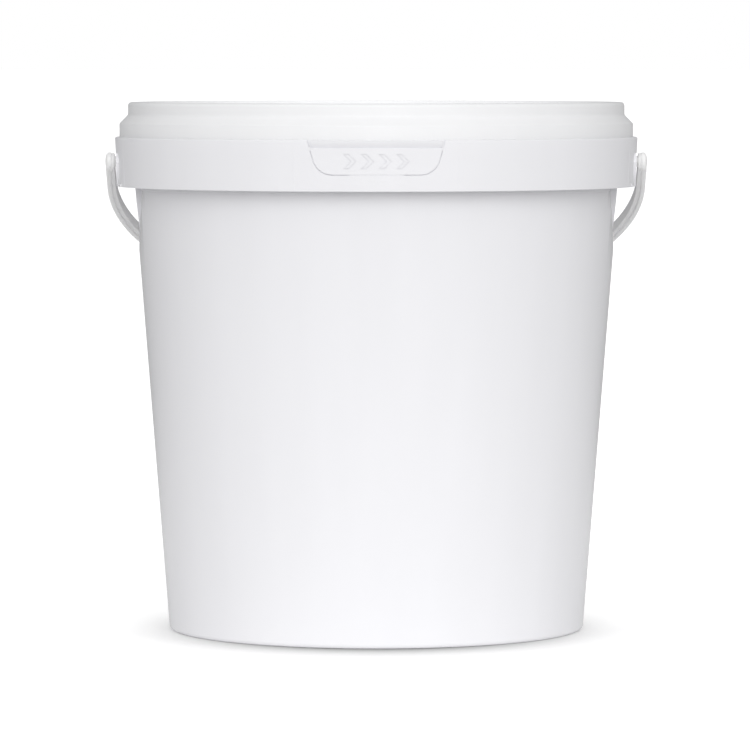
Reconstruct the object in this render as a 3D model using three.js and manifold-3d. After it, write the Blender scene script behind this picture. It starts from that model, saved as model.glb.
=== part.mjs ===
// A five-litre plastic pail with a press-on lid and a plastic bail handle.
// Millimetres, +Z up, standing on z = 0. The tear tab faces -Y, the two ears lie on +X and -X.
import * as THREE from 'three';
import { mergeVertices } from 'three/addons/utils/BufferGeometryUtils.js';
import Module from 'manifold-3d';

const wasm = await Module();
wasm.setup();

// Facets
const turnSteps = 64; // facets round the pail
const arcSteps = 4; // facets on a small rounded edge
const bailSteps = 40; // facets round the curved part of the bail

// Pail wall and base
const baseRadius = 81.05; // outside of the wall, carried down to the floor
const draftAngle = 4.47; // degrees that the wall leans outwards
const wall = 1.3;
const baseThickness = 1.7;
const baseCorner = 4.0; // radius where the wall turns into the base
const footWidth = 4.5; // flat ring that the pail stands on
const footRecess = 1.6; // how far the middle of the base is raised

// Collar round the top of the pail
const collarBottom = 173.3;
const collarHeight = 19.3;
const collarWall = 1.3;
const collarGap = 5.1; // space between the pail wall and the collar
const collarTaper = 0.85; // how much wider the collar is at its top
const collarEdge = 0.6;
const webDrop = 6.4; // underside of the web, below the collar's top
const webThickness = 1.3;
const ribCount = 24;
const ribThickness = 1.2;
const ribHeight = 6.0;

// Rim that the lid clips over
const rimRise = 6.8; // rim top above the collar's top
const rimEdge = 0.4;
const snapDepth = 1.05;
const snapHeight = 2.0;

// Lid
const lidWall = 1.2;
const lidClearance = 0.45; // lid skirt to collar
const seatClearance = 0.37; // lid to rim
const snapOverlap = 0.2; // radial bite of the lid's lip under the rim's bead
const lipHeight = 1.4;
const shoulderInset = 3.35; // how far the stacking ring stands in from the lid skirt
const stackRise = 4.95; // stacking ring above the shoulder
const stackWidth = 3.9;
const stackEdge = 1.4;
const plugDepth = 10.8; // top of the lid to the gutter inside it
const panelRise = 1.2; // panel above the gutter
const gutterWidth = 4.0;
const sealHeight = 2.0;

// Ears
const pivotDrop = 9.7; // pivot line below the collar's top
const padSink = 1.15; // pad face inside the collar's widest radius
const padThickness = 2.1;
const padHalfWidth = 19.3;
const padTopHalfWidth = 16.8;
const padFootHalfWidth = 12.2;
const padTop = 3.4; // above the pivot
const holeRadius = 1.4;

// Flats and keel in the wall under each ear
const flatDrop = 27.3; // lower end of the flat, below the collar's lower edge
const flatRise = 3.7; // upper end of the flat, above it
const flatDepth = 3.55; // into the wall, at the collar's lower edge
const flatLean = 3.2; // degrees that the flat leans inwards going up
const keelDepth = 0.85; // how far the keel's face lies inside the wall's own surface
const keelHalfWidth = 13.2;
const keelHeight = 22.0;

// Tear tab at the front of the collar
const tabHalfWidth = 24.6; // at the collar's top
const tabFootHalfWidth = 19.0;
const tabFoot = 5.6; // above the collar's lower edge
const tabCorner = 4.8;
const slotWidth = 0.5;
const bridgeDrop = 2.6; // collar's top to the upper end of each bridge
const bridgeLength = 1.5;
const footBridgeHalfWidth = 10.2;
const grooveTop = 0.5; // below the collar's top
const grooveHeight = 2.2;
const grooveDepth = 0.75;

// Bail handle
const bailClearance = 0.3; // bail to the widest part of the collar
const bailThickness = 1.8;
const bailWidth = 6.5;
const bailRibDepth = 1.6;
const bailRibWidth = 2.2;
const bailLeg = 16.4; // straight part of each leg, from the pivot
const bailBow = 94.7; // depth of the curved part
const bailEdge = 0.3;
const restClearance = 0.3; // bail to the wall that it hangs against
const hubRadius = 3.55;
const hubInnerRadius = 3.3;
const hubGroove = 0.2;
const hubThickness = 2.85;
const hubDome = 0.75;
const pinRadius = 1.0;
const barbRadius = 1.8;
const barbLength = 1.2;
const barbClearance = 0.35;

// Sizes that follow from the ones above
const draft = Math.tan(THREE.MathUtils.degToRad(draftAngle));
const wallOuter = (z) => baseRadius + draft * z;
const wallInner = (z) => wallOuter(z) - wall;
const collarTop = collarBottom + collarHeight;
const pivotHeight = collarTop - pivotDrop;
const flatBottom = collarBottom - flatDrop;
const flatTop = collarBottom + flatRise;
const webBottom = collarTop - webDrop;
const webTop = webBottom + webThickness;
const collarRadius = wallOuter(webBottom) + collarGap + collarWall;
const collarOuter = (z) => collarRadius - collarTaper * (collarTop - z) / collarHeight;
const collarInner = (z) => collarOuter(z) - collarWall;
const rimTop = collarTop + rimRise;
const snapBottom = webTop + seatClearance + lipHeight + seatClearance;
const bandRadius = collarInner(collarTop) - lidClearance;
const stackRadius = bandRadius - shoulderInset;
const shoulderZ = rimTop + seatClearance + lidWall * Math.SQRT2 - (bandRadius - wallOuter(rimTop));
const flareTop = shoulderZ + shoulderInset;
const lidTop = flareTop + stackRise;
const plugInner = stackRadius - stackWidth;
const plugOuter = plugInner + lidWall;
const gutterZ = lidTop - plugDepth;
const padFace = collarRadius - padSink;
const bailInnerX = collarRadius + bailClearance;
const bailOuterX = bailInnerX + bailRibDepth + bailThickness;

// Points round a circular arc, from one angle to another in degrees
function arc(centreR, centreZ, radius, from, to, steps = arcSteps) {
  const points = [];
  for (let i = 0; i <= steps; i++) {
    const angle = THREE.MathUtils.degToRad(from + (to - from) * i / steps);
    points.push([centreR + radius * Math.cos(angle), centreZ + radius * Math.sin(angle)]);
  }
  return points;
}

// Body of revolution round Z
function turned(profile) {
  const geometry = new THREE.LatheGeometry(profile.map(([r, z]) => new THREE.Vector2(Math.max(r, 0), z)), turnSteps);
  return geometry.rotateX(Math.PI / 2);
}

// Outline in the XZ plane pushed along Y, from front to back
function alongY(outline, front, back) {
  const shape = new THREE.Shape(outline.map(([x, z]) => new THREE.Vector2(x, z)));
  const geometry = new THREE.ExtrudeGeometry(shape, { depth: back - front, bevelEnabled: false, curveSegments: arcSteps });
  return geometry.rotateX(Math.PI / 2).translate(0, back, 0);
}

// Outline in the YZ plane pushed along X, from one x to another
function alongX(outline, from, to) {
  const shape = new THREE.Shape(outline.map(([y, z]) => new THREE.Vector2(y, z)));
  const geometry = new THREE.ExtrudeGeometry(shape, { depth: to - from, bevelEnabled: false, curveSegments: arcSteps });
  return geometry.rotateX(Math.PI / 2).rotateZ(Math.PI / 2).translate(from, 0, 0);
}

function solid(geometry) {
  const bare = geometry.clone();
  bare.deleteAttribute('normal');
  bare.deleteAttribute('uv');
  const merged = mergeVertices(bare, 1e-4);
  return new wasm.Manifold(new wasm.Mesh({
    numProp: 3,
    vertProperties: new Float32Array(merged.attributes.position.array),
    triVerts: new Uint32Array(merged.index.array),
  }));
}

function toGeometry(manifold) {
  const mesh = manifold.getMesh();
  const geometry = new THREE.BufferGeometry();
  geometry.setAttribute('position', new THREE.BufferAttribute(new Float32Array(mesh.vertProperties), 3));
  geometry.setIndex(new THREE.BufferAttribute(new Uint32Array(mesh.triVerts), 1));
  geometry.computeVertexNormals();
  return geometry;
}

function mirrored(manifold) {
  return manifold.add(manifold.rotate([0, 0, 180]));
}

// Pail

// Section of the wall, base, web, collar and rim, as one closed moulding
function pailProfile() {
  const footOuter = wallOuter(baseCorner) - baseCorner;
  const footInner = footOuter - footWidth;
  const innerCorner = Math.max(baseCorner - wall, 0.5);
  const floorZ = footRecess + baseThickness;
  const snapRadius = wallOuter(snapBottom) + snapDepth;
  return [
    [0, footRecess],
    [footInner - footRecess, footRecess],
    [footInner, 0],
    ...arc(footOuter, baseCorner, baseCorner, -90, 0),
    [wallOuter(webBottom), webBottom],
    [collarInner(webBottom), webBottom],
    [collarInner(collarBottom), collarBottom],
    [collarOuter(collarBottom) - collarEdge / 2, collarBottom],
    [collarOuter(collarBottom), collarBottom + collarEdge / 2],
    ...arc(collarRadius - collarEdge, collarTop - collarEdge, collarEdge, 0, 90),
    [collarInner(collarTop), collarTop],
    [collarInner(webTop), webTop],
    [wallOuter(webTop), webTop],
    [wallOuter(snapBottom), snapBottom],
    [snapRadius, snapBottom],
    [snapRadius, snapBottom + snapHeight / 3],
    [wallOuter(snapBottom + snapHeight), snapBottom + snapHeight],
    [wallOuter(rimTop - rimEdge), rimTop - rimEdge],
    [wallOuter(rimTop) - rimEdge, rimTop],
    [wallInner(rimTop) + rimEdge, rimTop],
    [wallInner(rimTop), rimTop - rimEdge],
    [wallInner(floorZ + innerCorner), floorZ + innerCorner],
    [wallInner(floorZ) - innerCorner, floorZ],
    [0, floorZ],
  ];
}

// Solid inside of a surface of revolution, between two heights
function plugOf(radiusAt, bottom, top) {
  return solid(turned([[0, bottom], [radiusAt(bottom), bottom], [radiusAt(top), top], [0, top]]));
}

// Room cut out of the wall on the +X side: a leaning flat with a pointed keel left standing on it.
// The same shape, grown by the wall thickness, gives the wall that closes the cut from inside.
function earRoom(grow) {
  const lean = Math.tan(THREE.MathUtils.degToRad(flatLean));
  const beyond = collarRadius;
  const reach = collarRadius / 2;
  const bottom = flatBottom - grow;
  const top = flatTop + grow;
  const flatX = (z) => wallOuter(collarBottom) - flatDepth - grow + lean * (collarBottom - z);
  const keelX = (z) => wallOuter(z) - keelDepth - grow;
  const slab = (xAt) => solid(alongY([[xAt(bottom), bottom], [beyond, bottom], [beyond, top], [xAt(top), top]], -reach, reach));
  const half = keelHalfWidth - grow;
  const keelFoot = flatTop - keelHeight + grow;
  const keel = solid(alongX([
    [0, keelFoot],
    [half * 0.45, keelFoot + keelHeight * 0.24],
    [half * 0.86, keelFoot + keelHeight * 0.56],
    [half, top + wall],
    [-half, top + wall],
    [-half * 0.86, keelFoot + keelHeight * 0.56],
    [-half * 0.45, keelFoot + keelHeight * 0.24],
  ], 0, beyond));
  const nearWall = plugOf((z) => wallOuter(z) + collarGap / 2, bottom - wall, top + wall);
  return slab(flatX).subtract(keel.subtract(slab(keelX))).intersect(nearWall);
}

function withFlats(pail) {
  const middle = (z) => wallOuter(z) - wall / 2;
  const backing = mirrored(earRoom(wall)).intersect(plugOf(middle, flatBottom - 2 * wall, flatTop + 2 * wall));
  return pail.add(backing).subtract(mirrored(earRoom(0)));
}

// Radial ribs that hold the collar off the wall, under the web
function withRibs(pail) {
  const length = collarInner(webBottom) - wallOuter(webBottom) + wall;
  const rib = new THREE.BoxGeometry(length, ribThickness, ribHeight + webThickness / 2);
  const middleR = (collarInner(webBottom) + wallOuter(webBottom)) / 2;
  rib.translate(middleR, 0, webBottom - ribHeight / 2 + webThickness / 4);
  const one = solid(rib);
  let result = pail;
  for (let i = 0; i < ribCount; i++) result = result.add(one.rotate([0, 0, (i + 0.5) * 360 / ribCount]));
  return result;
}

// Flat shield-shaped pad on each side of the collar, with the hole for the bail's pin
function withEars(pail) {
  const outline = [
    [-padTopHalfWidth, pivotHeight + padTop],
    [-padHalfWidth, pivotHeight],
    [-(padHalfWidth + padFootHalfWidth) / 2 - 1, (pivotHeight + collarBottom) / 2 - 1],
    [-padFootHalfWidth, collarBottom + collarEdge / 2],
    [padFootHalfWidth, collarBottom + collarEdge / 2],
    [(padHalfWidth + padFootHalfWidth) / 2 + 1, (pivotHeight + collarBottom) / 2 - 1],
    [padHalfWidth, pivotHeight],
    [padTopHalfWidth, pivotHeight + padTop],
  ];
  const pad = solid(alongX(outline, padFace - padThickness, padFace));
  const shave = solid(alongX(outline, padFace, padFace + collarWall));
  const hole = new THREE.CylinderGeometry(holeRadius, holeRadius, 4 * padThickness, 16).rotateZ(Math.PI / 2);
  const bore = solid(hole.translate(padFace, 0, pivotHeight));
  return pail.add(mirrored(pad)).subtract(mirrored(shave)).subtract(mirrored(bore));
}

// Half of the tab's slot line, from the collar's top down to the middle of its foot
function tabLine() {
  const footZ = collarBottom + tabFoot;
  const corner = new THREE.Vector2(tabFootHalfWidth, footZ);
  const down = new THREE.Vector2(tabFootHalfWidth - tabHalfWidth, footZ - collarTop).normalize();
  const before = corner.clone().addScaledVector(down, -tabCorner);
  const after = new THREE.Vector2(tabFootHalfWidth - tabCorner, footZ);
  const bend = new THREE.QuadraticBezierCurve(before, corner, after).getPoints(arcSteps);
  return [new THREE.Vector2(tabHalfWidth, collarTop), ...bend, new THREE.Vector2(0, footZ)];
}

// Slot that follows a line in the XZ plane, cut through the front of the collar
function slotAlong(points) {
  const side = (sign) => points.map((point, i) => {
    const before = points[Math.max(i - 1, 0)];
    const after = points[Math.min(i + 1, points.length - 1)];
    const heading = after.clone().sub(before).normalize();
    return [point.x - sign * heading.y * slotWidth / 2, point.y + sign * heading.x * slotWidth / 2];
  });
  return solid(alongY([...side(1), ...side(-1).reverse()], -collarRadius - 1, -collarRadius * 0.9));
}

// Tear tab: slots with two side bridges and one in the middle of the foot, and a finger groove on top
function withTab(pail) {
  const line = tabLine();
  const flow = line[1].clone().sub(line[0]).normalize();
  const start = line[0].clone().addScaledVector(flow, -1);
  const bridgeStart = line[0].clone().addScaledVector(flow, bridgeDrop);
  const bridgeEnd = line[0].clone().addScaledVector(flow, bridgeDrop + bridgeLength);
  const footEnd = new THREE.Vector2(footBridgeHalfWidth, line[line.length - 1].y);
  const upper = slotAlong([start, bridgeStart]);
  const lower = slotAlong([bridgeEnd, ...line.slice(1, -1), footEnd]);
  const right = upper.add(lower);
  const left = right.mirror([1, 0, 0]);
  const grooveHigh = collarTop - grooveTop;
  const grooveLow = grooveHigh - grooveHeight;
  const ring = solid(turned([
    [collarOuter(grooveLow) - grooveDepth, grooveLow],
    [collarRadius + 1, grooveLow],
    [collarRadius + 1, grooveHigh],
    [collarOuter(grooveHigh), grooveHigh],
    [collarOuter(grooveLow) - grooveDepth, grooveLow],
  ]));
  const edge = slotWidth / 2 + 0.6;
  const span = alongY([
    [-tabHalfWidth + edge, collarTop],
    [-tabHalfWidth + edge + 0.5, grooveLow - 1],
    [tabHalfWidth - edge - 0.5, grooveLow - 1],
    [tabHalfWidth - edge, collarTop],
  ], -collarRadius - 2, 0);
  return pail.subtract(right).subtract(left).subtract(ring.intersect(solid(span)));
}

function makePail() {
  const shell = solid(turned(pailProfile()));
  return toGeometry(withTab(withEars(withRibs(withFlats(shell)))));
}

// Lid

// Closed section, from the underside of the panel outwards: the plug inside the rim, the skirt with its
// snap lip, the shoulder, the stacking ring, the gutter and the panel
function lidProfile() {
  const skirtBottom = webTop + seatClearance;
  const skirtInner = bandRadius - lidWall;
  const lipRadius = wallOuter(snapBottom) + snapDepth - snapOverlap;
  const roofZ = (r) => shoulderZ + (bandRadius - r) - lidWall * Math.SQRT2;
  const stackInner = stackRadius - lidWall;
  const edge = Math.min(stackEdge, stackWidth / 2);
  const panelZ = gutterZ + panelRise;
  const panelRadius = plugInner - gutterWidth;
  const sealTop = gutterZ + sealHeight;
  const sealRadius = (z) => wallInner(z) - seatClearance;
  const blend = stackEdge;
  return [
    [0, panelZ - lidWall],
    [panelRadius - panelRise - lidWall / 2, panelZ - lidWall],
    [panelRadius - lidWall / 2, gutterZ - lidWall],
    [plugOuter - lidWall / 2, gutterZ - lidWall],
    [Math.max(sealRadius(gutterZ), plugOuter), gutterZ + lidWall / 4],
    [Math.max(sealRadius(sealTop), plugOuter), sealTop - lidWall / 4],
    [plugOuter, sealTop + lidWall / 2],
    [plugOuter, lidTop - lidWall],
    [stackInner, lidTop - lidWall],
    [stackInner, roofZ(stackInner)],
    [skirtInner, roofZ(skirtInner)],
    [skirtInner, skirtBottom + lipHeight + (skirtInner - lipRadius)],
    [lipRadius, skirtBottom + lipHeight],
    [lipRadius, skirtBottom + lipHeight / 2],
    [lipRadius + lidWall / 3, skirtBottom],
    [bandRadius, skirtBottom],
    [bandRadius, shoulderZ - lidWall / 4],
    [bandRadius - lidWall / 4, shoulderZ + lidWall / 4],
    [stackRadius + blend * 0.6, flareTop - blend * 0.6],
    [stackRadius + blend * 0.12, flareTop + blend * 0.08],
    [stackRadius, flareTop + blend / 2],
    ...arc(stackRadius - edge, lidTop - edge, edge, 0, 90),
    [plugInner + edge / 2, lidTop],
    [plugInner, lidTop - edge / 2],
    [plugInner, gutterZ + lidWall],
    [plugInner - lidWall, gutterZ],
    [panelRadius, gutterZ],
    [panelRadius - panelRise, panelZ],
    [0, panelZ],
  ];
}

function makeLid() {
  return toGeometry(solid(turned(lidProfile())));
}

// Bail handle

// Angle of the bail from straight down, in degrees, when it hangs against the back wall
function restAngle() {
  const touch = (reach, half) => {
    const far = reach + draft * half;
    const rise = draft * reach - half;
    const target = restClearance + baseRadius + draft * pivotHeight;
    return Math.asin(target / Math.hypot(far, rise)) - Math.atan2(rise, far);
  };
  const bottom = bailLeg + bailBow - bailThickness;
  const angle = Math.max(touch(bottom - bailRibDepth, bailRibWidth / 2), touch(bottom, bailWidth / 2));
  return THREE.MathUtils.radToDeg(angle);
}

// Strip between two U curves in the bail's own plane, as thick as its width along the plane's normal
function bailStrip(outset, thickness, width, edge) {
  const curve = (inset, up) => {
    const points = [];
    for (let i = 0; i <= bailSteps; i++) {
      const angle = Math.PI * i / bailSteps;
      const x = (bailOuterX - inset) * Math.cos(angle);
      points.push([x, -bailLeg - (bailBow - inset) * Math.sin(angle)]);
    }
    return [[bailOuterX - inset, up], ...points, [inset - bailOuterX, up]];
  };
  const outline = [...curve(outset + edge, 0), ...curve(outset + thickness - edge, 0).reverse()];
  const shape = new THREE.Shape(outline.map(([x, y]) => new THREE.Vector2(x, y)));
  const geometry = new THREE.ExtrudeGeometry(shape, {
    depth: width - 2 * edge,
    bevelEnabled: edge > 0,
    bevelThickness: edge,
    bevelSize: edge,
    bevelSegments: 1,
  });
  return solid(geometry.translate(0, 0, edge - width / 2));
}

// Hub at the end of the right leg: domed outer disc, groove, inner disc, pin and snap barb
function bailHub() {
  const inner = bailInnerX;
  const outer = inner + hubThickness;
  const grooveX = inner + hubThickness * 0.4;
  const barbOuter = padFace - padThickness - barbClearance;
  const profile = [
    [0, barbOuter - barbLength],
    [barbRadius * 0.6, barbOuter - barbLength],
    [barbRadius, barbOuter - barbLength * 0.3],
    [barbRadius, barbOuter],
    [pinRadius, barbOuter],
    [pinRadius, inner],
    [hubInnerRadius - hubGroove, inner],
    [hubInnerRadius, inner + hubGroove],
    [hubInnerRadius, grooveX - hubGroove],
    [hubInnerRadius - hubGroove, grooveX],
    [hubRadius, grooveX + hubGroove],
    [hubRadius, outer - hubGroove],
    [hubRadius - hubGroove, outer],
    [hubRadius * 0.5, outer + hubDome * 0.7],
    [0, outer + hubDome],
  ];
  const points = profile.map(([r, x]) => new THREE.Vector2(r, x));
  return solid(new THREE.LatheGeometry(points, 24).rotateZ(-Math.PI / 2));
}

function makeBail() {
  const flange = bailStrip(0, bailThickness, bailWidth, bailEdge);
  const rib = bailStrip(bailThickness - bailEdge, bailRibDepth + bailEdge, bailRibWidth, 0);
  const geometry = toGeometry(flange.add(rib).add(mirrored(bailHub())));
  // The bail's plane is stood upright, its legs hanging down, before it is swung to the back
  return geometry.rotateX(Math.PI / 2);
}

function piece(name, geometry, finish) {
  const mesh = new THREE.Mesh(geometry, new THREE.MeshStandardMaterial(finish));
  mesh.name = name;
  return mesh;
}

const whiteShell = { color: 0xf4f5f5, roughness: 0.42, metalness: 0 };
const whiteLid = { color: 0xf6f6f6, roughness: 0.38, metalness: 0 };
const naturalWhite = { color: 0xe9e9e6, roughness: 0.5, metalness: 0 };

const pail = new THREE.Group();
pail.add(piece('bucket', makePail(), whiteShell));
pail.add(piece('lid', makeLid(), whiteLid));

const bail = piece('handle', makeBail(), naturalWhite);
bail.position.set(0, 0, pivotHeight);
bail.rotation.x = THREE.MathUtils.degToRad(restAngle());
pail.add(bail);

export default pail;
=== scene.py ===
"""A white five-litre pail with a press-on lid and a plastic bail handle, on a pale studio floor."""
from __future__ import annotations

import logging
import math
from collections.abc import Callable, Iterator
from contextlib import contextmanager
from dataclasses import dataclass
from enum import Enum

import bmesh
import bpy
from mathutils import Matrix, Vector


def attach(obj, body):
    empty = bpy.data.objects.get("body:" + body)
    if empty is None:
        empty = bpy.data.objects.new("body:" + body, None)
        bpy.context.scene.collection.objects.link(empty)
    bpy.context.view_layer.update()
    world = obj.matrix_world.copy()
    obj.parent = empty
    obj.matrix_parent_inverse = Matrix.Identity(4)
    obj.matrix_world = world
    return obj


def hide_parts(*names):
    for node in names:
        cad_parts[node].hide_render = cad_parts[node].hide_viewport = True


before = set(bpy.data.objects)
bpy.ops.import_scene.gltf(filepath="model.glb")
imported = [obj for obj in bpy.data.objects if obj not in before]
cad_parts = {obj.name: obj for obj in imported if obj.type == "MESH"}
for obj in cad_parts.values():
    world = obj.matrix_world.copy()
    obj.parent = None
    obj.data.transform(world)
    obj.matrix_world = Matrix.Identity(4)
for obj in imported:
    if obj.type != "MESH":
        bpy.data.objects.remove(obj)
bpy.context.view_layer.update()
LOG = logging.getLogger("pail")
MM = 0.001
TINY = 1e-7
Point = tuple[float, float]
Body = bpy.types.Object


class Quality(Enum):
    """Number of facets: round the pail's axis, along a small arc and along the handle's bow."""

    TURN = 288
    ARC = 7
    BAIL = 96


class Way(Enum):
    """What a boolean does with the tool."""

    JOIN = "UNION"
    CUT = "DIFFERENCE"
    KEEP = "INTERSECT"


def arc(
    centre_r: float, centre_z: float, radius: float, start: float, end: float, steps: int = 0
) -> list[Point]:
    """Points round a circular arc.

    Args:
        centre_r: distance of the centre from the axis.
        centre_z: height of the centre.
        radius: radius of the arc.
        start: first angle in degrees.
        end: last angle in degrees.
        steps: number of facets, or 0 for the usual number.

    Returns:
        The points from start to end.
    """
    count = steps or Quality.ARC.value
    angles = [math.radians(start + (end - start) * i / count) for i in range(count + 1)]
    return [(centre_r + radius * math.cos(a), centre_z + radius * math.sin(a)) for a in angles]


def four_ways(angle: float) -> tuple[float, ...]:
    """An angle in degrees and its mirror images at the other three quarters of the circle."""
    return (angle, 180 - angle, 180 + angle, 360 - angle)


class Bench:
    """The modelling steps that the pieces share."""

    @staticmethod
    def clear() -> None:
        """Deselects everything."""
        bpy.ops.object.select_all(action="DESELECT")

    @staticmethod
    def focus(obj: Body) -> None:
        """Selects one object alone and makes it active."""
        Bench.clear()
        obj.select_set(True)
        bpy.context.view_layer.objects.active = obj

    @staticmethod
    @contextmanager
    def editing(obj: Body) -> Iterator[None]:
        """Opens an object in edit mode with everything selected, and closes it again."""
        Bench.focus(obj)
        bpy.ops.object.mode_set(mode="EDIT")
        bpy.ops.mesh.select_all(action="SELECT")
        yield
        bpy.ops.object.mode_set(mode="OBJECT")

    @staticmethod
    def loop(name: str, points: list[Vector], filled: bool = False) -> Body:
        """A closed loop of edges, or a face, through points.

        Args:
            name: name of the object.
            points: corners of the loop in metres.
            filled: whether the loop is a face.

        Returns:
            The new object, selected.
        """
        Bench.clear()
        fill = "NGON" if filled else "NOTHING"
        bpy.ops.mesh.primitive_circle_add(vertices=len(points), radius=0.1, fill_type=fill)
        obj = bpy.context.object
        obj.name = name
        for vertex, point in zip(obj.data.vertices, points):
            vertex.co = point
        return obj

    @staticmethod
    def turn(name: str, profile: list[Point], steps: int = 0, axis: str = "Z") -> Body:
        """Spins a section round an axis into a closed body.

        Args:
            name: name of the object.
            profile: section in millimetres, as distance from the axis and height, which is closed
                or runs from axis to axis.
            steps: facets round the axis, or 0 for the usual number.
            axis: Z, or X to lay the body along X.

        Returns:
            The turned body.
        """
        points = [Vector((max(r, 0.0), 0.0, z)) * MM for r, z in profile]
        obj = Bench.loop(name, points)
        mesh = bmesh.new()
        mesh.from_mesh(obj.data)
        on_axis = [edge for edge in mesh.edges if all(v.co.x < TINY for v in edge.verts)]
        bmesh.ops.delete(mesh, geom=on_axis, context="EDGES_FACES")
        mesh.to_mesh(obj.data)
        mesh.free()
        with Bench.editing(obj):
            count = steps or Quality.TURN.value
            bpy.ops.mesh.spin(steps=count, angle=2 * math.pi, center=(0, 0, 0), axis=(0, 0, 1))
            bpy.ops.mesh.select_all(action="SELECT")
            bpy.ops.mesh.remove_doubles(threshold=TINY)
            bpy.ops.mesh.normals_make_consistent(inside=False)
        if axis == "X":
            obj.data.transform(Matrix.Rotation(math.pi / 2, 4, "Y"))
        return obj

    @staticmethod
    def prism(name: str, outline: list[Point], start: float, length: float, axis: str = "Y") -> Body:
        """Pushes an upright outline along Y or X.

        Args:
            name: name of the object.
            outline: corners in millimetres, as place across the push and height.
            start: place of the outline along the push, in millimetres.
            length: length of the push in millimetres.
            axis: Y, or X to push along X.

        Returns:
            The prism.
        """
        on_x = axis == "X"
        corners = [Vector((start, a, z) if on_x else (a, start, z)) * MM for a, z in outline]
        push = (length * MM, 0, 0) if on_x else (0, length * MM, 0)
        obj = Bench.loop(name, corners, filled=True)
        with Bench.editing(obj):
            bpy.ops.mesh.extrude_region_move(TRANSFORM_OT_translate={"value": push})
            bpy.ops.mesh.select_all(action="SELECT")
            bpy.ops.mesh.normals_make_consistent(inside=False)
        return obj

    @staticmethod
    def close(obj: Body) -> None:
        """Caps the open ends of a tube and turns its faces outwards."""
        with Bench.editing(obj):
            bpy.ops.mesh.remove_doubles(threshold=TINY)
            bpy.ops.mesh.fill_holes(sides=0)
            bpy.ops.mesh.select_all(action="SELECT")
            bpy.ops.mesh.normals_make_consistent(inside=False)

    @staticmethod
    def combine(target: Body, tool: Body, way: Way) -> Body:
        """Joins or cuts a body with a tool, which is used up.

        Args:
            target: the body that is worked on.
            tool: the body that works on it.
            way: what the tool does.

        Returns:
            The target.
        """
        Bench.focus(target)
        modifier = target.modifiers.new("combine", "BOOLEAN")
        modifier.operation = way.value
        modifier.solver = "EXACT"
        modifier.object = tool
        bpy.ops.object.modifier_apply(modifier=modifier.name)
        bpy.data.objects.remove(tool, do_unlink=True)
        return target

    @staticmethod
    def copy(obj: Body, turn: Matrix) -> Body:
        """Copies an object with its own mesh.

        Args:
            obj: the object.
            turn: a turn about the pail's axis or a mirror.

        Returns:
            The turned or mirrored copy.
        """
        other = obj.copy()
        other.data = obj.data.copy()
        bpy.context.collection.objects.link(other)
        other.data.transform(turn)
        if turn.determinant() < 0:
            other.data.flip_normals()
        return other

    @staticmethod
    def gather(parts: list[Body]) -> Body:
        """Puts several bodies that don't touch into the first one's mesh, and returns that."""
        Bench.focus(parts[0])
        for other in parts[1:]:
            other.select_set(True)
        bpy.ops.object.join()
        return parts[0]

    @staticmethod
    def both_sides(target: Body, tool: Body, way: Way) -> None:
        """Uses a tool on the +X side and its half-turned copy on the -X side."""
        other = Bench.copy(tool, Matrix.Rotation(math.pi, 4, "Z"))
        Bench.combine(target, tool, way)
        Bench.combine(target, other, way)

    @staticmethod
    def smooth(obj: Body, angle: float = 28.0) -> None:
        """Shades faces smooth where they meet at less than an angle in degrees."""
        with Bench.editing(obj):
            bpy.ops.mesh.dissolve_degenerate(threshold=TINY)
        bpy.ops.object.shade_smooth_by_angle(angle=math.radians(angle))


class Wire:
    """A node's output that takes part in shader maths."""

    def __init__(self, graph: Graph, source: bpy.types.NodeSocket) -> None:
        """Keeps the graph and the output."""
        self.graph = graph
        self.source = source

    def _math(self, operation: str, a: Wire | float, b: Wire | float) -> Wire:
        """Adds one Math node and returns its output."""
        return self.graph.node("ShaderNodeMath", {"operation": operation}, {0: a, 1: b})

    def __add__(self, other: Wire | float) -> Wire:
        """Sum."""
        return self._math("ADD", self, other)

    __radd__ = __add__

    def __sub__(self, other: Wire | float) -> Wire:
        """Difference."""
        return self._math("SUBTRACT", self, other)

    def __rsub__(self, other: Wire | float) -> Wire:
        """Difference the other way round."""
        return self._math("SUBTRACT", other, self)

    def __mul__(self, other: Wire | float) -> Wire:
        """Product."""
        return self._math("MULTIPLY", self, other)

    __rmul__ = __mul__


class Graph:
    """Builds the nodes of a material or of the world."""

    def __init__(self, owner: bpy.types.Material | bpy.types.World) -> None:
        """Empties the owner's nodes."""
        self.owner = owner
        owner.use_nodes = True
        self.tree = owner.node_tree
        self.tree.nodes.clear()

    def node(
        self, kind: str, settings: dict | None = None, inputs: dict | None = None, output: int | str = 0
    ) -> Wire:
        """Adds a node.

        Args:
            kind: the node's type.
            settings: properties, which are set first.
            inputs: values or wires by socket name or number.
            output: which output the wire comes from.

        Returns:
            The wire from that output.
        """
        made = self.tree.nodes.new(kind)
        for key, value in (settings or {}).items():
            setattr(made, key, value)
        for key, value in (inputs or {}).items():
            if isinstance(value, Wire):
                self.tree.links.new(value.source, made.inputs[key])
            else:
                made.inputs[key].default_value = value
        return Wire(self, made.outputs[output])

    def finish(self, shader: Wire) -> None:
        """Links a shader to the output of the material or of the world."""
        is_world = isinstance(self.owner, bpy.types.World)
        out = self.tree.nodes.new("ShaderNodeOutputWorld" if is_world else "ShaderNodeOutputMaterial")
        self.tree.links.new(shader.source, out.inputs["Surface"])


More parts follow.
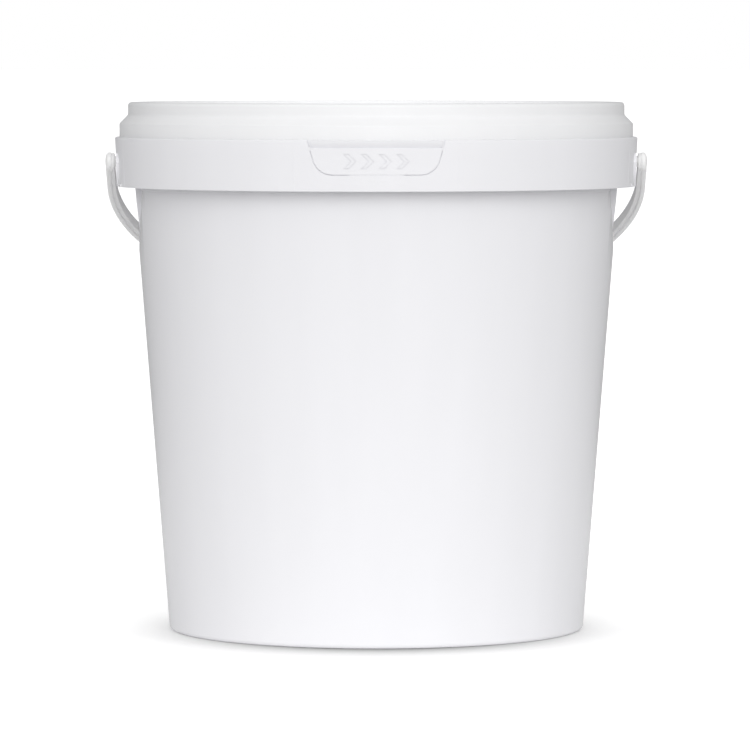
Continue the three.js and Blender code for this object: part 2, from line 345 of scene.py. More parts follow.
@dataclass(frozen=True)
class MouldedPlastic:
    """White moulded plastic: a faint haze in its gloss, a soft flow pattern and a fine grain."""

    name: str
    colour: tuple[float, float, float]
    roughness: float
    glow: float = 0.0
    satin: float = 0.0
    satin_from: float = 0.172
    haze_scale: float = 38.0
    haze_roughness: float = 0.12
    flow_scale: float = 60.0
    flow_stretch: float = 0.12
    flow_dark: float = 0.985
    grain_scale: float = 900.0
    grain_height: float = 0.00002
    grain_strength: float = 0.25
    haze_share: float = 0.4
    refraction: float = 1.49
    gloss: float = 0.42
    glow_reach: tuple[float, float, float] = (0.004, 0.004, 0.0038)

    def material(self) -> bpy.types.Material:
        """Builds the finish."""
        material = bpy.data.materials.new(self.name)
        graph = Graph(material)
        place = graph.node("ShaderNodeTexCoord", output="Object")

        def noise(where: Wire, scale: float, detail: float) -> Wire:
            """A noise pattern over a place."""
            inputs = {"Vector": where, "Scale": scale, "Detail": detail}
            return graph.node("ShaderNodeTexNoise", inputs=inputs)

        haze = noise(place, self.haze_scale, 3.0)
        grain = noise(place, self.grain_scale, 2.0)
        stretch = (1.0, 1.0, self.flow_stretch)
        stretched = graph.node("ShaderNodeMapping", inputs={"Vector": place, "Scale": stretch})
        flow = noise(stretched, self.flow_scale, 2.0)
        levels = {"Value": flow, "From Min": 0.3, "From Max": 0.7, "To Min": self.flow_dark, "To Max": 1.0}
        shade = graph.node("ShaderNodeMapRange", inputs=levels)
        base = graph.node(
            "ShaderNodeMix",
            {"data_type": "RGBA", "blend_type": "MULTIPLY"},
            {"Factor": 1.0, 6: (*self.colour, 1.0), 7: shade},
            output=2,
        )
        height = graph.node("ShaderNodeSeparateXYZ", inputs={0: place}, output="Z")
        is_above = {"operation": "GREATER_THAN"}
        high = graph.node("ShaderNodeMath", is_above, {0: height, 1: self.satin_from})
        mean = self.roughness - self.haze_roughness / 2
        rough = mean + haze * self.haze_roughness + high * self.satin
        relief = grain * (1.0 - self.haze_share) + haze * self.haze_share
        bump = graph.node(
            "ShaderNodeBump",
            inputs={"Strength": self.grain_strength, "Distance": self.grain_height, "Height": relief},
        )
        shader = graph.node(
            "ShaderNodeBsdfPrincipled",
            inputs={
                "Base Color": base,
                "Roughness": rough,
                "Normal": bump,
                "IOR": self.refraction,
                "Specular IOR Level": self.gloss,
                "Subsurface Weight": self.glow,
                "Subsurface Radius": self.glow_reach,
                "Subsurface Scale": 1.0,
            },
        )
        graph.finish(shader)
        return material


def dress(obj: Body, material: bpy.types.Material) -> None:
    """Gives an object one material."""
    obj.data.materials.clear()
    obj.data.materials.append(material)


@dataclass
class Pail:
    """The bucket moulding. Sizes are in millimetres."""

    base_radius: float = 81.05
    draft: float = math.tan(math.radians(4.47))
    wall: float = 1.3
    base_thickness: float = 1.7
    base_corner: float = 1.9
    foot_width: float = 4.5
    foot_recess: float = 1.6
    foot_edge: float = 0.4
    foot_lift: float = 0.15
    wall_levels: tuple[float, ...] = (20.0, 60.0, 100.0, 140.0)
    wall_end: float = 165.0
    web_blend: float = 0.8
    collar_bottom: float = 173.3
    collar_height: float = 19.3
    collar_wall: float = 1.3
    collar_gap: float = 5.1
    collar_taper: float = 0.85
    collar_edge: float = 0.6
    collar_chamfer: float = 0.2
    collar_mouth: float = 0.15
    collar_levels: tuple[float, ...] = (6.0, 13.0)
    web_drop: float = 6.4
    web_thickness: float = 1.3
    rib_count: int = 24
    rib_thickness: float = 1.2
    rib_height: float = 6.0
    rim_rise: float = 6.8
    rim_edge: float = 0.4
    snap_depth: float = 1.05
    snap_height: float = 2.0
    seat_clearance: float = 0.37
    lip_height: float = 1.4
    pivot_drop: float = 9.7
    pad_sink: float = 1.15
    pad_thickness: float = 2.1
    pad_half: float = 19.3
    pad_top_half: float = 16.8
    pad_foot_half: float = 12.2
    pad_top: float = 3.4
    pad_shoulder: float = 0.55
    pad_swell: float = 1.0
    pad_swell_top: float = 0.5
    pad_swell_low: float = 0.3
    hole_radius: float = 1.4
    flat_drop: float = 27.3
    flat_rise: float = 3.7
    flat_depth: float = 4.3
    flat_lean: float = 5.0
    keel_depth: float = 0.85
    keel_half: float = 13.2
    keel_height: float = 22.0
    keel_shape: tuple[Point, ...] = ((0.45, 0.24), (0.86, 0.56))
    tab_half: float = 25.7
    tab_foot_half: float = 22.3
    tab_foot: float = 6.2
    tab_corner: float = 6.4
    slot_width: float = 0.42
    slot_depth: float = 0.55
    bridge_depth: float = 0.2
    bridge_drop: float = 2.6
    bridge_length: float = 1.5
    foot_bridge_half: float = 10.2
    groove_top: float = 0.3
    groove_height: float = 2.7
    groove_depth: float = 1.0
    groove_bend: float = 1.7
    groove_margin: float = 0.6
    groove_slant: float = 0.5
    chevron_count: int = 4
    chevron_size: float = 5.6
    chevron_stroke: float = 2.1
    chevron_line: float = 0.26
    chevron_depth: float = 0.3
    chevron_pitch: float = 6.6
    chevron_height: float = 184.6
    witness_angles: tuple[float, ...] = (16.2, 72.3)
    witness_width: float = 0.35
    witness_relief: float = 0.05
    bead_angle: float = 11.6
    bead_length: float = 3.1
    bead_shape: tuple[Point, ...] = ((0.2, 0.3), (0.35, 0.8), (0.2, 1.3))
    root: float = 0.5
    tool_reach: float = 1.0
    finish: MouldedPlastic = MouldedPlastic("bucket_plastic", (0.866, 0.864, 0.888), 0.24, satin=0.2)

    def outer(self, z: float) -> float:
        """Outside radius of the wall at a height."""
        return self.base_radius + self.draft * z

    def inner(self, z: float) -> float:
        """Inside radius of the wall at a height."""
        return self.outer(z) - self.wall

    @property
    def collar_top(self) -> float:
        """Height of the collar's top."""
        return self.collar_bottom + self.collar_height

    @property
    def web_bottom(self) -> float:
        """Height of the web's underside."""
        return self.collar_top - self.web_drop

    @property
    def web_top(self) -> float:
        """Height of the web's top."""
        return self.web_bottom + self.web_thickness

    @property
    def rim_top(self) -> float:
        """Height of the rim."""
        return self.collar_top + self.rim_rise

    @property
    def snap_bottom(self) -> float:
        """Height of the underside of the snap bead."""
        return self.web_top + 2 * self.seat_clearance + self.lip_height

    @property
    def collar_radius(self) -> float:
        """Widest radius of the collar."""
        return self.outer(self.web_bottom) + self.collar_gap + self.collar_wall

    @property
    def pivot(self) -> float:
        """Height of the handle's pivots."""
        return self.collar_top - self.pivot_drop

    @property
    def pad_face(self) -> float:
        """Distance of the ear pads' faces from the middle."""
        return self.collar_radius - self.pad_sink

    def collar_outer(self, z: float) -> float:
        """Outside radius of the collar at a height."""
        return self.collar_radius - self.collar_taper * (self.collar_top - z) / self.collar_height

    def collar_inner(self, z: float) -> float:
        """Inside radius of the collar at a height."""
        return self.collar_outer(z) - self.collar_wall

    def profile(self) -> list[Point]:
        """Section of the whole moulding, from axis to axis."""
        recess = self.foot_recess
        web = self.web_bottom
        snap = self.snap_bottom
        rim = self.rim_top
        rim_edge = self.rim_edge
        foot_outer = self.outer(self.base_corner) - self.base_corner
        foot_inner = foot_outer - self.foot_width
        inner_corner = self.base_corner - self.wall
        floor = recess + self.base_thickness
        edge = self.collar_edge
        chamfer = self.collar_chamfer
        mouth = self.collar_mouth
        top = self.collar_top
        bottom = self.collar_bottom
        snap_radius = self.outer(snap) + self.snap_depth
        snap_top = snap + self.snap_height
        blend = self.web_blend
        corner_top = floor + inner_corner
        return [
            (0, recess),
            (foot_inner * 0.5, recess),
            (foot_inner - recess - self.foot_edge, recess),
            (foot_inner - recess / 2, recess * 0.6),
            (foot_inner, self.foot_lift),
            (foot_inner + self.foot_edge, 0),
            *arc(foot_outer, self.base_corner, self.base_corner, -90, 0, 10),
            *[(self.outer(z), z) for z in (*self.wall_levels, self.wall_end)],
            (self.outer(web - blend), web - blend),
            (self.outer(web) + blend * 0.3, web - blend * 0.3),
            (self.outer(web) + blend, web),
            (self.collar_inner(web), web),
            (self.collar_inner(bottom), bottom + chamfer),
            (self.collar_inner(bottom) + chamfer, bottom),
            *arc(self.collar_outer(bottom) - edge / 2, bottom + edge / 2, edge / 2, -90, 0),
            *[(self.collar_outer(bottom + up), bottom + up) for up in self.collar_levels],
            *arc(self.collar_outer(top) - edge, top - edge, edge, 0, 90),
            (self.collar_inner(top) + mouth, top),
            (self.collar_inner(top), top - mouth),
            (self.collar_inner(self.web_top), self.web_top),
            (self.outer(self.web_top), self.web_top),
            (self.outer(snap), snap),
            (snap_radius, snap),
            (snap_radius, snap + self.snap_height / 3),
            (self.outer(snap_top), snap_top),
            (self.outer(rim - rim_edge), rim - rim_edge),
            (self.outer(rim) - rim_edge, rim),
            (self.inner(rim) + rim_edge, rim),
            (self.inner(rim), rim - rim_edge),
            *[(self.inner(z), z) for z in reversed(self.wall_levels)],
            *arc(self.inner(corner_top) - inner_corner, corner_top, inner_corner, 0, -90),
            (foot_inner * 0.5, floor),
            (0, floor),
        ]

    def cone(self, low: float, high: float, off: float) -> Body:
        """A solid cone between two heights, whose side stands off the wall's outside."""
        section = [(0, low), (self.outer(low) + off, low), (self.outer(high) + off, high), (0, high)]
        return Bench.turn("cone", section)

    def ear_room(self, grow: float) -> Body:
        """Models the room of one ear's flat, with the keel left standing.

        Args:
            grow: how much larger than the flat the room is.

        Returns:
            The body that cuts the room, or that backs it when it is grown by the wall.
        """
        lean = math.tan(math.radians(self.flat_lean))
        beyond = self.collar_radius
        reach = self.collar_radius / 2
        bottom = self.collar_bottom - self.flat_drop - grow
        top = self.collar_bottom + self.flat_rise + grow
        face = self.outer(self.collar_bottom) - self.flat_depth - grow

        def flat(z: float) -> float:
            """Distance of the leaning flat from the middle at a height."""
            return face + lean * (self.collar_bottom - z)

        def crest(z: float) -> float:
            """Distance of the keel's top from the middle at a height."""
            return self.outer(z) - self.keel_depth - grow

        def slab(inside: Callable[[float], float]) -> Body:
            """The room between a face and the outside."""
            corners = [(inside(bottom), bottom), (beyond, bottom), (beyond, top), (inside(top), top)]
            return Bench.prism("slab", corners, -reach, 2 * reach)

        half = self.keel_half - grow
        foot = self.collar_bottom + self.flat_rise - self.keel_height + grow
        right = [(half * across, foot + self.keel_height * up) for across, up in self.keel_shape]
        right.append((half, top + self.wall))
        outline = [(0.0, foot), *right, *[(-y, z) for y, z in reversed(right)]]
        keel = Bench.prism("keel", outline, 0, beyond, "X")
        Bench.combine(keel, slab(crest), Way.CUT)
        room = Bench.combine(slab(flat), keel, Way.CUT)
        cone = self.cone(bottom - self.wall, top + self.wall, self.collar_gap / 2)
        return Bench.combine(room, cone, Way.KEEP)

    def cut_flats(self, pail: Body) -> None:
        """Sets the two flats and keels into the wall."""
        low = self.collar_bottom - self.flat_drop - 2 * self.wall
        high = self.collar_bottom + self.flat_rise + 2 * self.wall
        backing = self.ear_room(self.wall)
        Bench.combine(backing, self.cone(low, high, -self.wall / 2), Way.KEEP)
        Bench.both_sides(pail, backing, Way.JOIN)
        Bench.both_sides(pail, self.ear_room(0.0), Way.CUT)

    def add_ribs(self, pail: Body) -> None:
        """Adds the ribs between wall and collar, under the web."""
        start = self.outer(self.web_bottom) - self.wall / 2
        end = self.collar_inner(self.web_bottom) + self.wall / 2
        low = self.web_bottom - self.rib_height
        high = self.web_bottom + self.web_thickness / 2
        corners = [(start, low), (end, low), (end, high), (start, high)]
        first = Bench.prism("ribs", corners, -self.rib_thickness / 2, self.rib_thickness)
        step = 2 * math.pi / self.rib_count
        turns = [Matrix.Rotation((i + 0.5) * step, 4, "Z") for i in range(self.rib_count)]
        copies = [Bench.copy(first, turn) for turn in turns]
        bpy.data.objects.remove(first, do_unlink=True)
        Bench.combine(pail, Bench.gather(copies), Way.JOIN)

    def add_ears(self, pail: Body) -> None:
        """Adds the flat shield-shaped pads and their pin holes."""
        low = self.collar_bottom + self.collar_edge / 2
        middle = (self.pad_half + self.pad_foot_half) / 2 + self.pad_swell
        waist = (self.pivot + self.collar_bottom) / 2 - self.pad_swell
        shoulder = (self.pad_top_half + self.pad_half) / 2 + self.pad_swell_top
        side = [
            (self.pad_top_half, self.pivot + self.pad_top),
            (shoulder, self.pivot + self.pad_top * self.pad_shoulder),
            (self.pad_half, self.pivot),
            ((self.pad_half + middle) / 2 + self.pad_swell_low, (self.pivot + waist) / 2),
            (middle, waist),
            (self.pad_foot_half, low),
        ]
        outline = [*side, *[(-y, z) for y, z in reversed(side)]]
        pad = Bench.prism("pad", outline, self.pad_face - self.pad_thickness, self.pad_thickness, "X")
        shave = Bench.prism("shave", outline, self.pad_face, self.collar_wall, "X")
        Bench.both_sides(pail, pad, Way.JOIN)
        Bench.both_sides(pail, shave, Way.CUT)
        Bench.clear()
        bpy.ops.mesh.primitive_cylinder_add(
            vertices=32,
            radius=self.hole_radius * MM,
            depth=4 * self.pad_thickness * MM,
            location=(self.pad_face * MM, 0, self.pivot * MM),
            rotation=(0, math.pi / 2, 0),
        )
        bore = bpy.context.object
        bpy.ops.object.transform_apply(location=True, rotation=True, scale=True)
        Bench.both_sides(pail, bore, Way.CUT)

    def tab_line(self) -> list[Vector]:
        """Right half of the tab's slot line, from the collar's top to the middle of its foot."""
        foot = self.collar_bottom + self.tab_foot
        corner = Vector((self.tab_foot_half, foot))
        down = Vector((self.tab_foot_half - self.tab_half, foot - self.collar_top)).normalized()
        before = corner - down * self.tab_corner
        after = Vector((self.tab_foot_half - self.tab_corner, foot))
        steps = Quality.ARC.value
        bend = []
        for i in range(steps + 1):
            t = i / steps
            bend.append(before * (1 - t) ** 2 + corner * 2 * t * (1 - t) + after * t ** 2)
        return [Vector((self.tab_half, self.collar_top)), *bend, Vector((0, foot))]

    def collar_strip(self, low: float, high: float, below: float, above: float) -> list[Point]:
        """Section of a strip that follows the collar's face.

        Args:
            low: height of its lower end.
            high: height of its upper end.
            below: how deep it lies under the face.
            above: how far it stands off the face.

        Returns:
            The corners, as distance from the axis and height.
        """
        corners = [(low, -below), (low, above), (high, above), (high, -below)]
        return [(self.collar_outer(z) + out, z) for z, out in corners]

    def engrave(self, tool: Body, depth: float) -> Body:
        """Trims a tool to the collar's face, down to a depth below it, and returns it."""
        low = self.collar_bottom - self.collar_edge
        high = self.collar_top + self.collar_edge
        skin = Bench.turn("skin", self.collar_strip(low, high, depth, self.tool_reach))
        return Bench.combine(tool, skin, Way.KEEP)

    def front_tool(self, name: str, outline: list[Point]) -> Body:
        """A block with an outline that reaches into the front of the collar."""
        front = -(self.collar_radius + self.tool_reach)
        return Bench.prism(name, outline, front, self.collar_radius * 0.1)

    def slot(self, line: list[Vector], depth: float) -> Body:
        """Models a narrow slot in the front of the collar.

        Args:
            line: the line that it follows, as place and height.
            depth: its depth below the collar's face.

        Returns:
            The body that cuts the slot.
        """
        half = self.slot_width / 2

        def beside(sign: float) -> list[Point]:
            """The line moved to its left or right by half the slot's width."""
            points = []
            for i, point in enumerate(line):
                heading = (line[min(i + 1, len(line) - 1)] - line[max(i - 1, 0)]).normalized()
                points.append((point.x - sign * heading.y * half, point.y + sign * heading.x * half))
            return points

        outline = [*beside(1), *reversed(beside(-1))]
        return self.engrave(self.front_tool("slot", outline), depth)

    def cut_tab(self, pail: Body) -> None:
        """Cuts the tear tab's slots, with two bridges left beside its top and one under its foot."""
        line = self.tab_line()
        flow = (line[1] - line[0]).normalized()
        foot_end = Vector((self.foot_bridge_half, line[-1].y))
        across = [Vector((-self.foot_bridge_half, line[-1].y)), foot_end]
        Bench.combine(pail, self.slot(across, self.bridge_depth), Way.CUT)
        upper = [line[0] - flow, line[0] + flow * self.bridge_drop]
        lower = [line[0] + flow * (self.bridge_drop + self.bridge_length), *line[1:-1], foot_end]
        for path in (upper, lower):
            tool = self.slot(path, self.slot_depth)
            mirror = Bench.copy(tool, Matrix.Scale(-1, 4, (1, 0, 0)))
            Bench.combine(pail, tool, Way.CUT)
            Bench.combine(pail, mirror, Way.CUT)

    def cut_groove(self, pail: Body) -> None:
        """Cuts the hollow finger groove along the top of the tear tab."""
        high = self.collar_top - self.groove_top
        low = high - self.groove_height
        steps = Quality.ARC.value
        shares = [i / steps for i in range(steps + 1)]
        hollow = [(1 - share, self.groove_depth * share ** self.groove_bend) for share in shares]
        outside = self.collar_radius + self.tool_reach
        section = [
            *[(self.collar_outer(low) - depth, low + self.groove_height * up) for up, depth in hollow],
            (outside, low),
            (outside, high),
        ]
        ring = Bench.turn("groove", section)
        edge = self.tab_half - self.slot_width / 2 - self.groove_margin
        foot = edge - self.groove_slant
        under = low - self.tool_reach
        span = [(-edge, self.collar_top), (-foot, under), (foot, under), (edge, self.collar_top)]
        box = Bench.prism("span", span, -self.collar_radius - 2 * self.tool_reach, self.collar_radius)
        Bench.combine(ring, box, Way.KEEP)
        Bench.combine(pail, ring, Way.CUT)

    def add_chevrons(self, pail: Body) -> None:
        """Engraves the outlines of a row of chevrons in the tear tab."""

        def chevron(middle: float, inset: float) -> Body:
            """A block with a chevron's outline, moved inwards by a width."""
            half = self.chevron_size / 2 - inset
            shift = inset * math.sqrt(2)
            left = middle - (self.chevron_size / 2 + self.chevron_stroke) / 2 + inset + shift
            right = left + self.chevron_stroke - 2 * shift
            z = self.chevron_height
            outline = [
                (left, z - half), (right, z - half), (right + half, z),
                (right, z + half), (left, z + half), (left + half, z),
            ]
            return self.front_tool("chevron", outline)

        for i in range(self.chevron_count):
            middle = (i - (self.chevron_count - 1) / 2) * self.chevron_pitch
            mark = Bench.combine(chevron(middle, 0.0), chevron(middle, self.chevron_line), Way.CUT)
            Bench.combine(pail, self.engrave(mark, self.chevron_depth), Way.CUT)

    def add_marks(self, pail: Body) -> None:
        """Adds the mould's witness lines on the collar and the beads beside the ears."""
        low = self.collar_bottom + self.collar_edge
        high = self.collar_top - self.collar_edge
        strip = self.collar_strip(low, high, self.root, self.witness_relief)
        face = self.collar_outer(self.collar_bottom)
        first, *_, last = self.bead_shape
        shape = [(-self.root, first[1]), *self.bead_shape, (-self.root, last[1])]
        bead = [(face + out, self.collar_bottom + up) for out, up in shape]
        places = [("line", strip, self.witness_width, angle) for angle in self.witness_angles]
        places.append(("bead", bead, self.bead_length, self.bead_angle))
        marks = []
        for name, section, length, angle in places:
            for turn in four_ways(angle):
                mark = Bench.prism(name, section, -length / 2, length)
                mark.data.transform(Matrix.Rotation(math.radians(turn), 4, "Z"))
                marks.append(mark)
        Bench.combine(pail, Bench.gather(marks), Way.JOIN)

    def make(self) -> Body:
        """Models the moulding, dresses it and lets it stand for its node."""
        pail = Bench.turn("bucket_moulding", self.profile())
        self.cut_flats(pail)
        self.add_ribs(pail)
        self.add_ears(pail)
        self.cut_tab(pail)
        self.cut_groove(pail)
        self.add_chevrons(pail)
        self.add_marks(pail)
        Bench.smooth(pail)
        dress(pail, self.finish.material())
        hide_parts("bucket")
        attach(pail, "bucket")
        LOG.info("bucket moulding: %d faces", len(pail.data.polygons))
        return pail


@dataclass
class Lid:
    """The press-on lid. Sizes are in millimetres."""

    pail: Pail
    wall: float = 1.2
    clearance: float = 0.45
    overlap: float = 0.2
    shoulder_inset: float = 3.35
    stack_rise: float = 4.95
    stack_width: float = 3.9
    stack_edge: float = 1.4
    plug_depth: float = 10.8
    panel_rise: float = 1.2
    gutter_width: float = 4.0
    seal_height: float = 2.0
    skirt_edge: float = 0.2
    band_edge: float = 0.7
    band_drop: float = 0.29
    shoulder_bend: float = 1.6
    mouth_edge: float = 0.8
    gutter_bend: float = 1.2
    step_bend: float = 0.5
    finish: MouldedPlastic = MouldedPlastic("lid_plastic", (0.9, 0.902, 0.912), 0.4)

    def profile(self) -> list[Point]:
        """Section from the panel's underside outwards and back over the top."""
        pail = self.pail
        lip_height = pail.lip_height
        seat = pail.seat_clearance
        band = pail.collar_inner(pail.collar_top) - self.clearance
        stack = band - self.shoulder_inset
        rim_top = pail.rim_top
        slant = self.wall * math.sqrt(2)
        shoulder = rim_top + seat + slant - (band - pail.outer(rim_top))
        flare = shoulder + self.shoulder_inset
        top = flare + self.stack_rise
        plug_in = stack - self.stack_width
        plug_out = plug_in + self.wall
        gutter = top - self.plug_depth
        skirt = pail.web_top + seat
        skirt_in = band - self.wall
        lip = pail.outer(pail.snap_bottom) + pail.snap_depth - self.overlap
        stack_in = stack - self.wall
        panel = gutter + self.panel_rise
        panel_r = plug_in - self.gutter_width
        seal = gutter + self.seal_height
        step = self.panel_rise
        bend = self.shoulder_bend
        reach = bend * math.tan(math.radians(22.5))
        mouth = self.mouth_edge
        low_bend = self.gutter_bend
        step_bend = self.step_bend

        def roof(r: float) -> float:
            """Height of the shoulder's underside at a distance from the axis."""
            return shoulder + (band - r) - slant

        def seal_r(z: float) -> float:
            """Distance of the seal's face from the axis at a height."""
            return max(pail.inner(z) - seat, plug_out)

        return [
            (0, panel - self.wall),
            (panel_r - step - self.wall / 2, panel - self.wall),
            (panel_r - self.wall / 2, gutter - self.wall),
            (plug_out - self.wall / 2, gutter - self.wall),
            (seal_r(gutter), gutter + self.wall / 4),
            (seal_r(seal), seal - self.wall / 4),
            (plug_out, seal + self.wall / 2),
            (plug_out, top - self.wall),
            (stack_in, top - self.wall),
            (stack_in, roof(stack_in)),
            (skirt_in, roof(skirt_in)),
            (skirt_in, skirt + lip_height + (skirt_in - lip)),
            (lip, skirt + lip_height),
            (lip, skirt + lip_height / 2),
            (lip + self.wall / 3, skirt),
            (band - self.skirt_edge, skirt),
            (band, skirt + self.skirt_edge),
            *arc(band - self.band_edge, shoulder - self.band_drop, self.band_edge, 0, 45, 5),
            *arc(stack + bend, flare + reach, bend, 225, 180, 8),
            *arc(stack - self.stack_edge, top - self.stack_edge, self.stack_edge, 0, 90, 10),
            *arc(plug_in + mouth, top - mouth, mouth, 90, 180, 8),
            *arc(plug_in - low_bend, gutter + low_bend, low_bend, 0, -90, 8),
            *arc(panel_r + step_bend, gutter + step_bend, step_bend, -90, -135, 4),
            *arc(panel_r - step - step_bend, panel - step_bend, step_bend, 45, 90, 4),
            (0, panel),
        ]

    def make(self) -> Body:
        """Models the lid, dresses it and lets it stand for its node."""
        lid = Bench.turn("lid_moulding", self.profile())
        Bench.smooth(lid)
        dress(lid, self.finish.material())
        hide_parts("lid")
        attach(lid, "lid")
        LOG.info("lid moulding: %d faces", len(lid.data.polygons))
        return lid


@dataclass
class Handle:
    """The bail handle. Sizes are in millimetres.

    The rest angle goes by the part's rib, and the visible rib is wider and thins out down the bow.
    """

    pail: Pail
    clearance: float = 0.3
    thickness: float = 1.8
    width: float = 6.5
    rib_depth: float = 1.6
    rib_width: float = 2.2
    rib_visible_width: float = 4.4
    rib_taper: float = 0.45
    rib_root: float = 0.3
    rib_edge: float = 0.25
    leg: float = 16.4
    bow: float = 94.7
    edge: float = 0.45
    rest_clearance: float = 0.3
    hub_radius: float = 3.55
    hub_inner_radius: float = 3.3
    hub_groove: float = 0.2
    hub_thickness: float = 2.85
    hub_dome: float = 0.75
    hub_edge: float = 0.5
    groove_share: float = 0.4
    dome_sweep: float = 24.0
    dome_start: float = 4.0
    pin_radius: float = 1.0
    boss_radius: float = 2.1
    boss_clearance: float = 0.12
    barb_radius: float = 1.8
    barb_length: float = 1.2
    barb_tip: float = 0.6
    barb_slope: float = 0.3
    barb_clearance: float = 0.35
    finish: MouldedPlastic = MouldedPlastic("handle_plastic", (0.94, 0.937, 0.93), 0.45, 0.35)

    def rest_angle(self) -> float:
        """Angle in radians from straight down at which the handle touches the back wall."""
        pail = self.pail

        def touch(reach: float, half: float) -> float:
            """Angle at which a strip touches the wall, by its reach and half its width."""
            far = reach + pail.draft * half
            rise = pail.draft * reach - half
            target = self.rest_clearance + pail.base_radius + pail.draft * pail.pivot
            return math.asin(target / math.hypot(far, rise)) - math.atan2(rise, far)

        bottom = self.leg + self.bow - self.thickness
        return max(touch(bottom - self.rib_depth, self.rib_width / 2), touch(bottom, self.width / 2))

    def section(self) -> list[Point]:
        """T-shaped section of the strap: depth inwards from its outer face, and place across."""
        half = self.width / 2
        rib = self.rib_visible_width / 2
        full = self.thickness + self.rib_depth
        edge = self.edge
        painted_contact_shade = self.thickness
        root = self.rib_root
        tip = self.rib_edge
        return [
            *arc(edge, half - edge, edge, 180, 90, 4),
            *arc(painted_contact_shade - edge, half - edge, edge, 90, 0, 4),
            *arc(painted_contact_shade + root, rib + root, root, 180, 270, 3),
            *arc(full - tip, rib - tip, tip, 90, 0, 3),
            *arc(full - tip, tip - rib, tip, 0, -90, 3),
            *arc(painted_contact_shade + root, -rib - root, root, 90, 180, 3),
            *arc(painted_contact_shade - edge, edge - half, edge, 0, -90, 4),
            *arc(edge, edge - half, edge, -90, -180, 4),
        ]

    def strap(self) -> Body:
        """The U-shaped strap in the XZ plane, its legs hanging from z = 0."""
        outside = self.pail.collar_radius + self.clearance + self.rib_depth + self.thickness
        points = [Vector((outside - depth, across, 0)) * MM for depth, across in self.section()]
        strap = Bench.loop("handle_moulding", points)
        with Bench.editing(strap):
            bpy.ops.mesh.spin(steps=Quality.BAIL.value, angle=math.pi, center=(0, 0, 0), axis=(0, 1, 0))
        for vertex in strap.data.vertices:
            x, across, z = vertex.co / MM
            depth = outside - math.hypot(x, z)
            angle = math.atan2(abs(z), x)
            depth -= max(depth - self.thickness, 0.0) * self.rib_taper * math.sin(angle) ** 2
            drop = self.leg + (self.bow - depth) * math.sin(angle)
            vertex.co = Vector(((outside - depth) * math.cos(angle), across, -drop)) * MM
        with Bench.editing(strap):
            bpy.ops.mesh.select_all(action="DESELECT")
            bpy.ops.mesh.select_non_manifold()
            bpy.ops.mesh.extrude_region_move(TRANSFORM_OT_translate={"value": (0, 0, self.leg * MM)})
        return strap

    def hub(self) -> Body:
        """The right hub with its pin and snap barb, along X."""
        inner = self.pail.collar_radius + self.clearance
        outer = inner + self.hub_thickness
        groove_x = inner + self.hub_thickness * self.groove_share
        barb = self.pail.pad_face - self.pail.pad_thickness - self.barb_clearance
        boss = self.pail.pad_face + self.boss_clearance
        groove = self.hub_groove
        edge = self.hub_edge
        waist = self.hub_inner_radius
        barb_r = self.barb_radius
        dome_radius = self.hub_radius / math.sin(math.radians(self.dome_sweep))
        dome_from = 90 - self.dome_sweep + self.dome_start
        dome = arc(0, outer + self.hub_dome - dome_radius, dome_radius, dome_from, 90, 8)
        section = [
            (0, barb - self.barb_length),
            (barb_r * self.barb_tip, barb - self.barb_length),
            (barb_r, barb - self.barb_length * self.barb_slope),
            (barb_r, barb),
            (self.pin_radius, barb),
            (self.pin_radius, boss),
            (self.boss_radius, boss),
            (self.boss_radius, inner),
            (waist - groove, inner),
            (waist, inner + groove),
            (waist, groove_x - groove),
            (waist - groove, groove_x),
            (self.hub_radius - groove / 2, groove_x + groove / 2),
            (self.hub_radius, groove_x + groove * 1.5),
            *arc(self.hub_radius - edge, outer - edge, edge, 0, 60, 4),
            *dome,
        ]
        return Bench.turn("hub", section, 64, "X")

    def make(self) -> Body:
        """Models the handle, swings it to its rest, dresses it and lets it stand for its node."""
        strap = self.strap()
        Bench.close(strap)
        Bench.both_sides(strap, self.hub(), Way.JOIN)
        swing = Matrix.Rotation(self.rest_angle(), 4, "X")
        strap.data.transform(Matrix.Translation((0, 0, self.pail.pivot * MM)) @ swing)
        Bench.smooth(strap)
        dress(strap, self.finish.material())
        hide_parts("handle")
        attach(strap, "handle")
        LOG.info("handle moulding: %d faces", len(strap.data.polygons))
        return strap


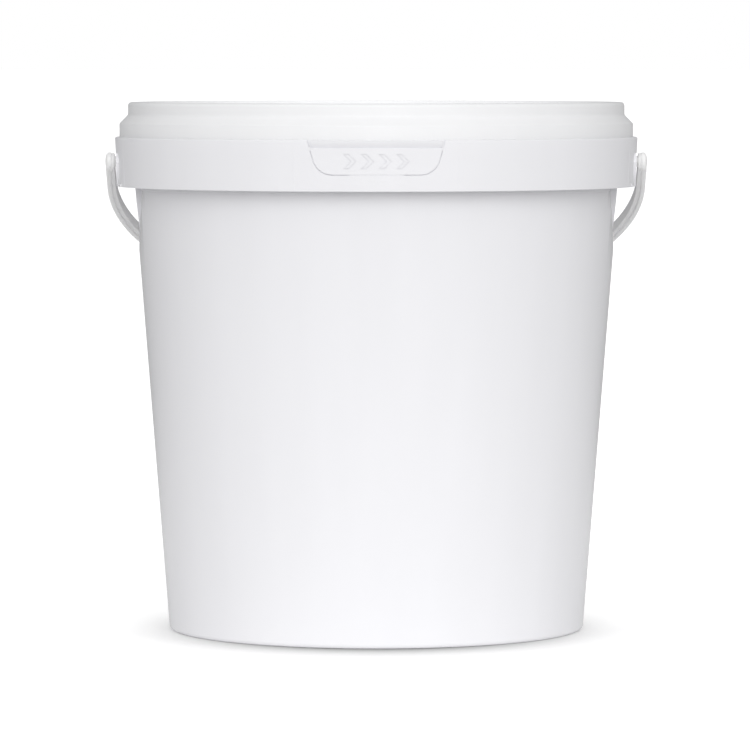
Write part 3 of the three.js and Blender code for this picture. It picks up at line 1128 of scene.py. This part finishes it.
@dataclass
class Studio:
    """The camera, the floor, the lamp and the light round them. Sizes are in metres."""

    pixel: float = 0.0003918
    distance: float = 2.15
    elevation: float = 3.24
    centre_px: float = 376.25
    foot_px: float = 628.4
    frame_px: float = 750.0
    sensor_mm: float = 36.0
    far_clip: float = 1000.0
    key_strength: float = 1.11
    key_softness: float = 45.0
    key_rise: float = 26.0
    key_turn: float = 4.0
    ambient: float = 0.588
    front_bias: float = 0.6
    floor_white: float = 0.93
    floor_dim: float = 0.1
    floor_lift: float = 0.58
    floor_glow: float = 0.04
    floor_size: float = 400.0
    dark_level: float = 0.5
    dark_start: float = 1.5
    dark_fall: float = 1.45
    # The shade_ sizes place and shape the painted contact shadow on the floor round the pail's foot.
    shade_back: float = 0.02
    shade_radius: float = 0.061
    shade_fall: float = 32.0
    shade_depth: float = 0.47

    def camera(self) -> None:
        """Places the camera at the photo's viewing angle."""
        half = self.frame_px / 2
        aim = Vector(((half - self.centre_px) * self.pixel, 0, (self.foot_px - half) * self.pixel))
        rise = math.radians(self.elevation)
        place = aim + Vector((0, -math.cos(rise), math.sin(rise))) * self.distance
        bpy.ops.object.camera_add(location=place, rotation=(math.pi / 2 - rise, 0, 0))
        camera = bpy.context.object
        camera.name = "camera"
        camera.data.sensor_width = self.sensor_mm
        camera.data.lens = self.sensor_mm * self.distance / (self.frame_px * self.pixel)
        camera.data.clip_end = self.far_clip
        bpy.context.scene.camera = camera

    def floor(self) -> None:
        """Lays a white floor that keeps the pail's shadow, has a painted contact shadow round the pail's
        foot, and is darker far off than it looks.
        """
        Bench.clear()
        bpy.ops.mesh.primitive_plane_add(size=self.floor_size, location=(0, 0, 0))
        floor = bpy.context.object
        floor.name = "floor"
        material = bpy.data.materials.new("floor_white")
        graph = Graph(material)

        def clamped(operation: str, inputs: dict) -> Wire:
            """A Math node whose result is kept between 0 and 1."""
            return graph.node("ShaderNodeMath", {"operation": operation, "use_clamp": True}, inputs)

        seen = graph.node("ShaderNodeLightPath", output="Is Camera Ray")
        place = graph.node("ShaderNodeTexCoord", output="Object")
        shift = {0: place, 1: (0.0, self.shade_back, 0.0)}
        moved = graph.node("ShaderNodeVectorMath", {"operation": "ADD"}, shift)
        away = graph.node("ShaderNodeVectorMath", {"operation": "LENGTH"}, {0: moved}, "Value")
        # Painted contact shadow: this mask rises towards the pail's foot, darkens the floor's colour where
        # the camera sees it and dims the floor's emission there.
        painted_contact_shade = clamped("EXPONENT", {0: (self.shade_radius - away) * self.shade_fall})
        lit = clamped("SUBTRACT", {0: self.dark_start, 1: away * self.dark_fall})
        shown = seen + (1.0 - seen) * (lit * (1.0 - self.dark_level) + self.dark_level)
        white = shown * (self.floor_white - seen * (self.floor_dim + painted_contact_shade * painted_contact_shade * self.shade_depth))
        paint = graph.node("ShaderNodeBsdfDiffuse", inputs={"Color": white})
        glow = seen * self.floor_lift + shown * self.floor_glow
        lift = graph.node("ShaderNodeEmission", inputs={"Color": 1.0 - painted_contact_shade, "Strength": glow})
        graph.finish(graph.node("ShaderNodeAddShader", inputs={0: paint, 1: lift}))
        dress(floor, material)

    def lamp(self) -> None:
        """Adds one very soft lamp that shines from the front and a little from above."""
        bpy.ops.object.light_add(type="SUN", location=(0, -self.distance, self.distance))
        lamp = bpy.context.object
        lamp.name = "key"
        lamp.data.energy = self.key_strength
        lamp.data.angle = math.radians(self.key_softness)
        rise = math.radians(self.key_rise)
        turn = math.radians(self.key_turn)
        level = math.cos(rise)
        aim = Vector((-math.sin(turn) * level, math.cos(turn) * level, -math.sin(rise)))
        lamp.rotation_euler = aim.to_track_quat("-Z", "Y").to_euler()

    def world(self) -> None:
        """Lights the scene evenly, a little more from the front, and shows white behind it."""
        world = bpy.data.worlds.new("studio")
        bpy.context.scene.world = world
        graph = Graph(world)
        seen = graph.node("ShaderNodeLightPath", output="Is Camera Ray")
        way = graph.node("ShaderNodeTexCoord", output="Generated")
        back = graph.node("ShaderNodeSeparateXYZ", inputs={0: way}, output="Y")
        level = back * (-self.ambient * self.front_bias) + self.ambient
        white = (1.0, 1.0, 1.0, 1.0)
        dim = graph.node("ShaderNodeBackground", inputs={"Color": white, "Strength": level})
        bright = graph.node("ShaderNodeBackground", inputs={"Color": white, "Strength": 1.0})
        graph.finish(graph.node("ShaderNodeMixShader", inputs={0: seen, 1: dim, 2: bright}))

    def make(self) -> None:
        """Sets up everything round the pail."""
        self.camera()
        self.floor()
        self.lamp()
        self.world()
        bpy.context.scene.view_settings.view_transform = "Standard"
        LOG.info("studio is set")


def main() -> None:
    """Builds the pieces in order and reports each."""
    logging.basicConfig(level=logging.INFO, format="%(name)s: %(message)s")
    Studio().make()
    pail = Pail()
    pail.make()
    Lid(pail).make()
    Handle(pail).make()


if __name__ == "__main__":
    main()
